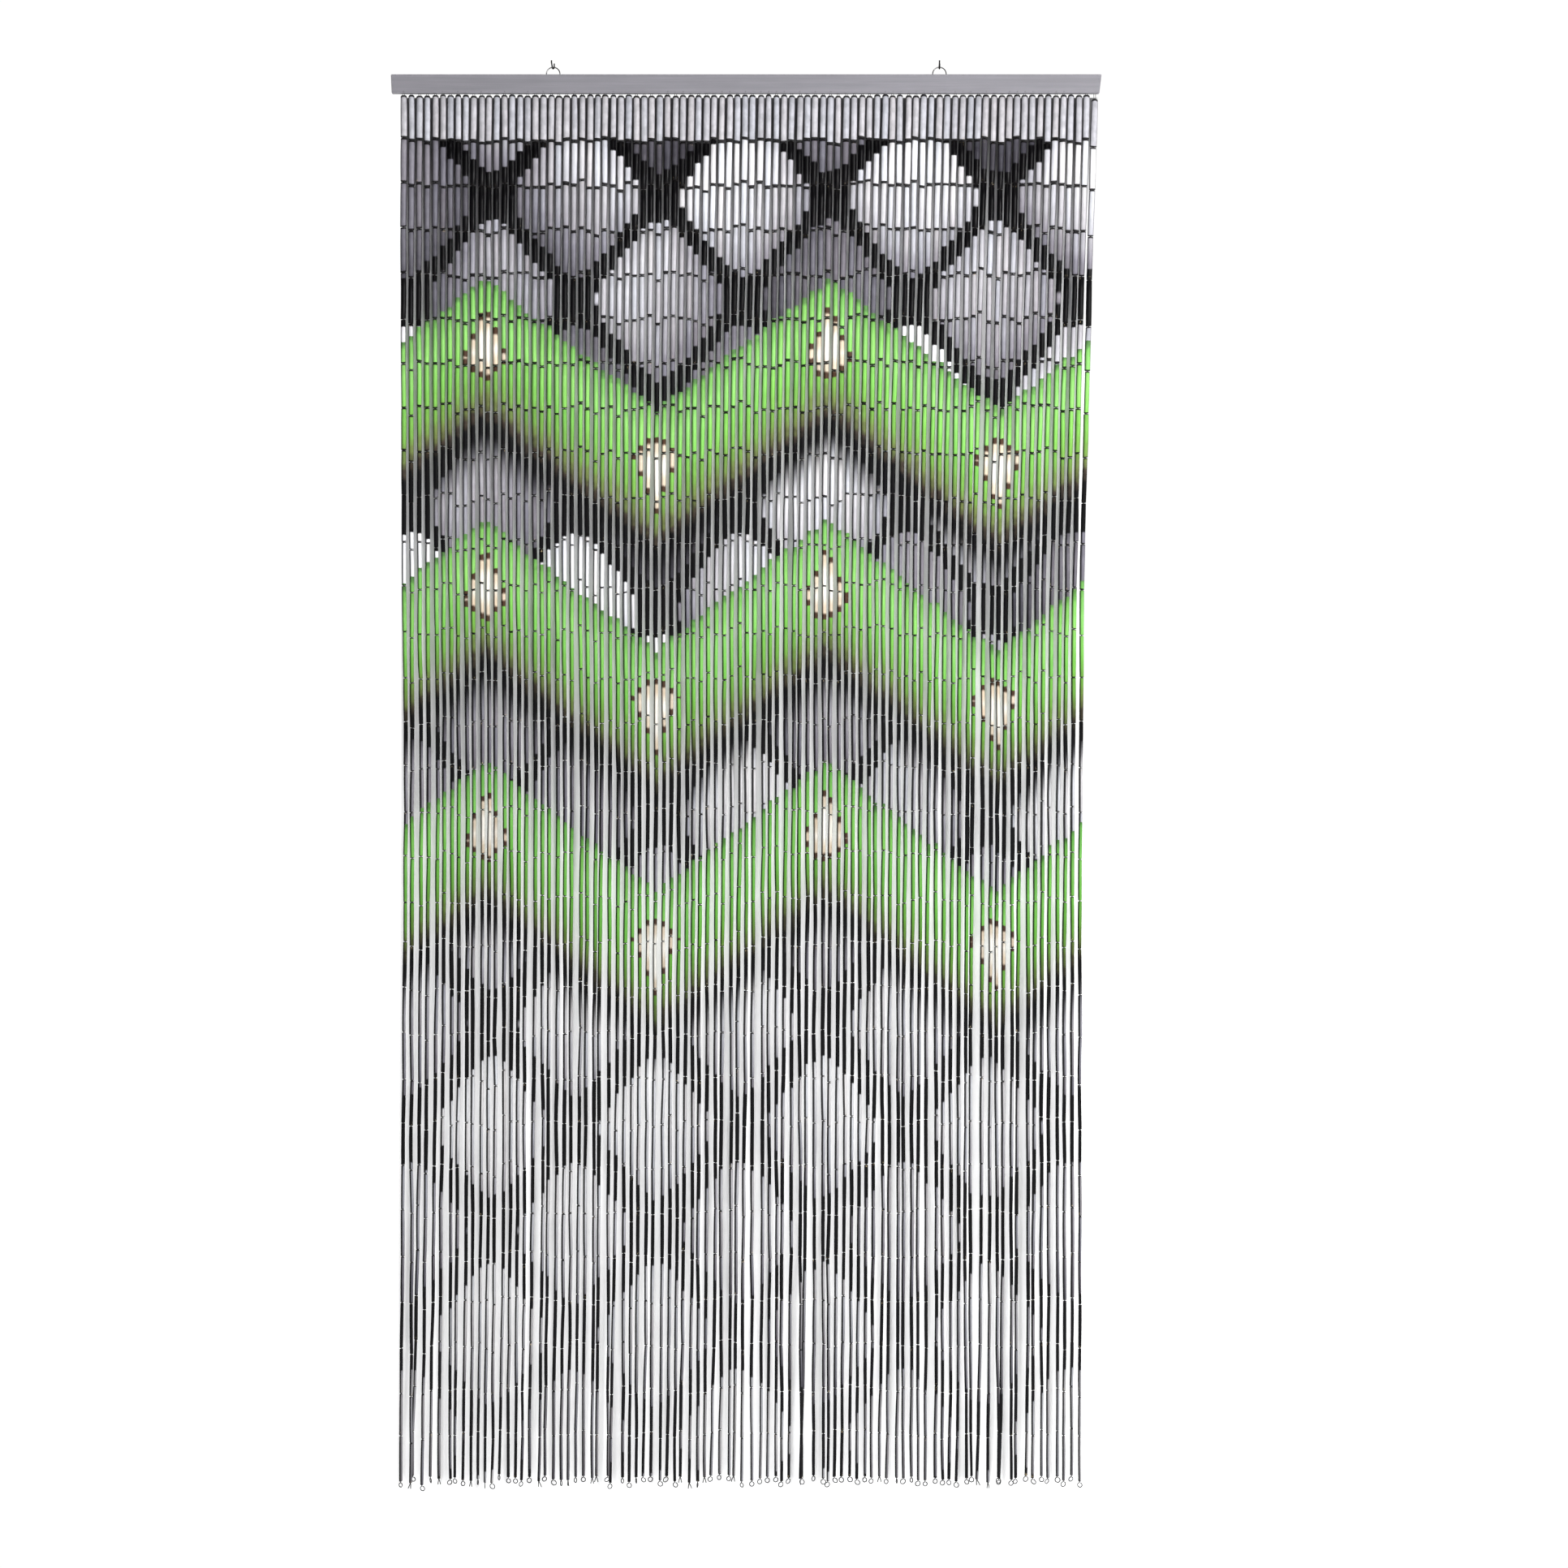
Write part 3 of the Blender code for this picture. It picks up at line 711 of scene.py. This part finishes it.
joint_wires = Wires()
pieces = []
per_group = STRANDS // GROUPS
turn6 = np.arange(6) * math.pi / 3
flat_eye = np.stack((np.cos(turn6), np.zeros(6), np.sin(turn6)), 1)
side_eye = np.stack((np.zeros(6), np.cos(turn6), np.sin(turn6)), 1)
last_ends = []
for g in range(GROUPS):
    points, form, printed, dice = [], [], [], []
    for i in range(g * per_group, (g + 1) * per_group):
        for k in range(BEADS_PER_STRAND):
            a, b, c, start, down, length = bead_points(i, k)
            points.append(a)
            form.append(b)
            printed.append(c)
            dice.append(np.broadcast_to((bead_chance[i, k], strand_chance[i], third_chance[i, k]), (RINGS * SIDES, 3)))
            if k + 1 < BEADS_PER_STRAND:
                end = start + down * (length + gap[i, k] / 2)
                size = min(0.30 * widths[i, k + 1] / 2 + 0.12, 1.0)
                mix_turn = third_chance[i, k] * math.pi
                spin = np.array(((math.cos(mix_turn), -math.sin(mix_turn), 0), (math.sin(mix_turn), math.cos(mix_turn), 0), (0, 0, 1)))
                joint_wires.add((flat_eye * size) @ spin.T + end + (0, 0, size * 0.62), 0.27, 3, True, bead_chance[i, k])
                joint_wires.add((side_eye * size) @ spin.T + end - (0, 0, size * 0.62), 0.27, 3, True, third_chance[i, k])
            else:
                last_ends.append((start + down * length, down))
    count = len(points)
    corners, size = cells(count, 2.85)
    loops = (bead_loops[None] + (np.arange(count) * RINGS * SIDES)[:, None]).ravel()
    maps = corners[:, None] + size * bead_map[None]
    piece = build(
        f"beads_{g + 1:02d}", np.concatenate(points) * 0.001, loops, np.tile(bead_sizes, count), np.tile(bead_smooth, count),
        maps.reshape(-1, 2), {"print": np.concatenate(printed), "form": np.concatenate(form), "chance": np.concatenate(dice)}, painted,
    )
    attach(piece, "root")
    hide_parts("strand_comb")
    pieces.append(piece)

links = joint_wires.object("joint_wires", joint_steel)
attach(links, "root")
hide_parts("strand_comb")

# ---------------------------------------------------------------- the staples that hold the strands under the batten
staples = Wires()
for i in range(STRANDS):
    x, y, top = joint_x[i, 0], joint_y[i, 0], joint_z[i, 0]
    half = 1.05
    foot = top - 0.9
    path = [(x - half - 0.15, y, -22.6), (x - half, y, -24.2), (x - half, y, foot)]
    path += [(x - half * math.cos(a), y, foot - half * math.sin(a)) for a in (0.6, 1.2, math.pi / 2, math.pi - 1.2, math.pi - 0.6)]
    path += [(x + half, y, foot), (x + half, y, -24.2), (x + half + 0.15, y, -22.6)]
    staples.add(path, 0.34, 5, False, strand_chance[i])
    eye = np.arange(10) * math.pi / 5
    ring = np.stack((np.zeros(10), np.cos(eye) * 1.1, np.sin(eye) * 1.1), 1) + (x, y, foot - half - 0.35)
    staples.add(ring, 0.3, 4, True, 1.0 - strand_chance[i])
strand_staples = staples.object("strand_staples", loop_steel)
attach(strand_staples, "root")
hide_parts("strand_comb")

# ---------------------------------------------------------------- the wire loops under the last beads
loops_ = Wires()
for i, (end, down) in enumerate(last_ends):
    kind = chance.random()
    turn = chance.uniform(0.0, math.pi)
    swing = chance.normal(0.0, 0.16)
    if kind < 0.78:  # a closed eye on a short stem, turned any way about the strand
        big = chance.uniform(2.6, 3.15)
        low = END_LOOP - 0.6 - 2 * big
        flat = [(0.0, 2.0), (0.0, 0.0), (0.0, -low * 0.6)]
        flat += [(-big * math.sin(a), -low - big + big * math.cos(a)) for a in np.linspace(0.12, 2 * math.pi - 0.30, 15)]
        if kind < 0.66:
            turn = chance.normal(0.0, 0.35)
    else:  # the wire's two ends, spread
        wide = chance.uniform(1.8, 2.6)
        flat = [(-wide, -7.4), (-wide * 0.9, -6.2), (-wide * 0.5, -3.0), (-0.25, -0.6), (0.0, 1.6), (0.25, -0.6), (wide * 0.5, -3.0), (wide * 0.9, -6.2), (wide, -7.4)]
        turn = chance.normal(0.0, 0.35)
    c, s = math.cos(turn), math.sin(turn)
    path = []
    for p_, h in flat:
        p_ += swing * min(0.0, h)
        path.append((end[0] + p_ * c, end[1] + p_ * s, end[2] + h))
    loops_.add(path, 0.62, 6, False, strand_chance[i])
end_loops = loops_.object("end_loops", loop_steel)
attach(end_loops, "root")
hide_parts("strand_comb")

# ---------------------------------------------------------------- the CAD pieces that stay, in their own slots
ring_wire = wire_steel("ring_wire", (66, 66, 66), (104, 103, 102), 0.28)
hook_wire = wire_steel("hook_wire", (34, 33, 33), (58, 57, 56), 0.38)
for name, material in (
    ("batten", batten_paint()), ("ring_left", ring_wire), ("ring_right", ring_wire), ("staple_left", ring_wire),
    ("staple_right", ring_wire), ("hook_left", hook_wire), ("hook_right", hook_wire),
):
    for slot_ in nodes[name].material_slots:
        slot_.material = material


# ---------------------------------------------------------------- floor, wall, light and camera
def pale(name, colour, from_behind=False):
    material = bpy.data.materials.new(name)
    p = Paint(material)
    x, y, z = p.place()
    p.set("Base Color", p.mix(p.noise(p.join(x, y, z), 3.0, 3.0), tuple(c * 0.985 for c in colour), colour))
    p.set("Roughness", 0.9)
    if from_behind:  # the wall is left out of the views from behind it, and is lit as a backdrop is around and below the curtain
        facing = p.tree.nodes.new("ShaderNodeNewGeometry")
        split = p.tree.nodes.new("ShaderNodeSeparateXYZ")
        p.tree.links.new(facing.outputs["Position"], split.inputs[0])
        along, height = Num(p.tree, split.outputs[0]), Num(p.tree, split.outputs[2])
        left_edge = height.step(-1.75, -0.95, -0.4432, -0.4384, smooth=False)
        right_edge = height.step(-0.60, -0.05, 0.4305, 0.4475, smooth=False)
        beside = along.step(left_edge - 0.0015, left_edge + 0.0015, 1.0, 0.0).to("MAXIMUM", along.step(right_edge - 0.004, right_edge + 0.0005))
        round_ = beside.to("MAXIMUM", height.step(-0.0262, -0.0250)).to("MAXIMUM", height.step(-1.815, -1.790, 1.0, 0.0))
        # painted shade: the wall behind the curtain is darker, darkest behind the top rows
        p.set("Base Color", p.mix(height.step(-0.21, -0.06), tuple(c * 0.86 for c in colour), tuple(c * 0.13 for c in colour)))
        p.set("Emission Color", (1.0, 1.0, 1.0))
        # painted light: the wall behind the lower curtain glows, more towards the bottom, so the gaps there look
        # brighter
        p.set("Emission Strength", height.step(-1.15, -0.62, 0.30, 0.0))
        white = p.tree.nodes.new("ShaderNodeEmission")
        white.inputs["Strength"].default_value = 1.02
        clear = p.tree.nodes.new("ShaderNodeBsdfTransparent")
        below = p.shader.outputs[0]
        ray = p.tree.nodes.new("ShaderNodeLightPath")
        behind = Num(p.tree, facing.outputs["Backfacing"]).to("MAXIMUM", Num(p.tree, ray.outputs["Is Shadow Ray"]))
        for share, over in ((round_.socket, white), (behind.socket, clear)):
            mix = p.tree.nodes.new("ShaderNodeMixShader")
            p.tree.links.new(share, mix.inputs[0])
            p.tree.links.new(below, mix.inputs[1])
            p.tree.links.new(over.outputs[0], mix.inputs[2])
            below = mix.outputs[0]
        p.tree.links.new(below, p.out.inputs["Surface"])
    else:  # the floor is evenly pale, and throws little light on the curtain
        ray = p.tree.nodes.new("ShaderNodeLightPath")
        even = p.tree.nodes.new("ShaderNodeEmission")
        even.inputs["Color"].default_value = (*colour, 1.0)
        even.inputs["Strength"].default_value = 0.92
        mix = p.tree.nodes.new("ShaderNodeMixShader")
        p.tree.links.new((Num(p.tree, ray.outputs["Is Camera Ray"]) * 0.99).socket, mix.inputs[0])
        p.tree.links.new(p.shader.outputs[0], mix.inputs[1])
        p.tree.links.new(even.outputs[0], mix.inputs[2])
        p.tree.links.new(mix.outputs[0], p.out.inputs["Surface"])
    return material


def board(name, size, location, rotation, material):
    bpy.ops.mesh.primitive_plane_add(size=1.0, location=location, rotation=rotation)
    obj = bpy.context.active_object
    obj.name = name
    obj.scale = (*size, 1.0)
    obj.data.materials.append(material)
    return obj


floor = board("floor", (9.0, 9.0), (0.0, -1.0, -2.02), (0.0, 0.0, 0.0), pale("floor_pale", (0.86, 0.86, 0.86)))
wall = board("wall", (7.0, 3.9), (0.0, 0.022, -0.07), (math.pi / 2, 0.0, 0.0), pale("wall_white", (0.93, 0.93, 0.935), True))
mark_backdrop(floor, wall)


def lamp(name, size, location, aim, power, colour=(1.0, 1.0, 1.0)):
    data = bpy.data.lights.new(name, "AREA")
    data.shape = "RECTANGLE"
    data.size, data.size_y = size
    data.energy = power
    data.color = colour
    obj = bpy.data.objects.new(name, data)
    bpy.context.scene.collection.objects.link(obj)
    obj.location = location
    obj.rotation_mode = "QUATERNION"
    obj.rotation_quaternion = (Vector(aim) - Vector(location)).to_track_quat("-Z", "Y")
    return obj


lamp("key", (1.1, 2.2), (1.9, -3.0, -0.75), (0.05, 0.0, -0.9), 165.0)
lamp("fill", (1.6, 2.2), (-2.0, -4.4, -0.7), (-0.1, 0.0, -0.9), 14.0)
lamp("top", (2.0, 0.8), (0.2, -1.5, 1.6), (0.0, 0.0, -0.3), 8.0)
lamp("back", (0.9, 2.2), (0.0, 3.6, -0.8), (0.0, 0.0, -0.9), 42.0)  # for the views from behind the wall

world = bpy.data.worlds.new("studio")
bpy.context.scene.world = world
world.use_nodes = True
background = world.node_tree.nodes["Background"]
background.inputs["Color"].default_value = (1.0, 1.0, 1.0, 1.0)
seen = world.node_tree.nodes.new("ShaderNodeLightPath")
strength = Num(world.node_tree, seen.outputs["Is Camera Ray"]).step(0.0, 1.0, 0.08, 0.80, smooth=False)  # a pale room, and little light from it
world.node_tree.links.new(strength.socket, background.inputs["Strength"])

camera_data = bpy.data.cameras.new("camera")
camera_data.sensor_width = 36.0
camera_data.lens = 100.0
camera_data.clip_start, camera_data.clip_end = 0.1, 60.0
camera = bpy.data.objects.new("camera", camera_data)
bpy.context.scene.collection.objects.link(camera)
camera.location = (0.0478, -5.520, -0.8987)
camera.rotation_euler = (math.pi / 2, 0.0, 0.0)
bpy.context.scene.camera = camera
bpy.context.scene.view_settings.view_transform = "Standard"
bpy.context.scene.view_settings.look = "None"

bpy.context.view_layer.update()
low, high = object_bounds()
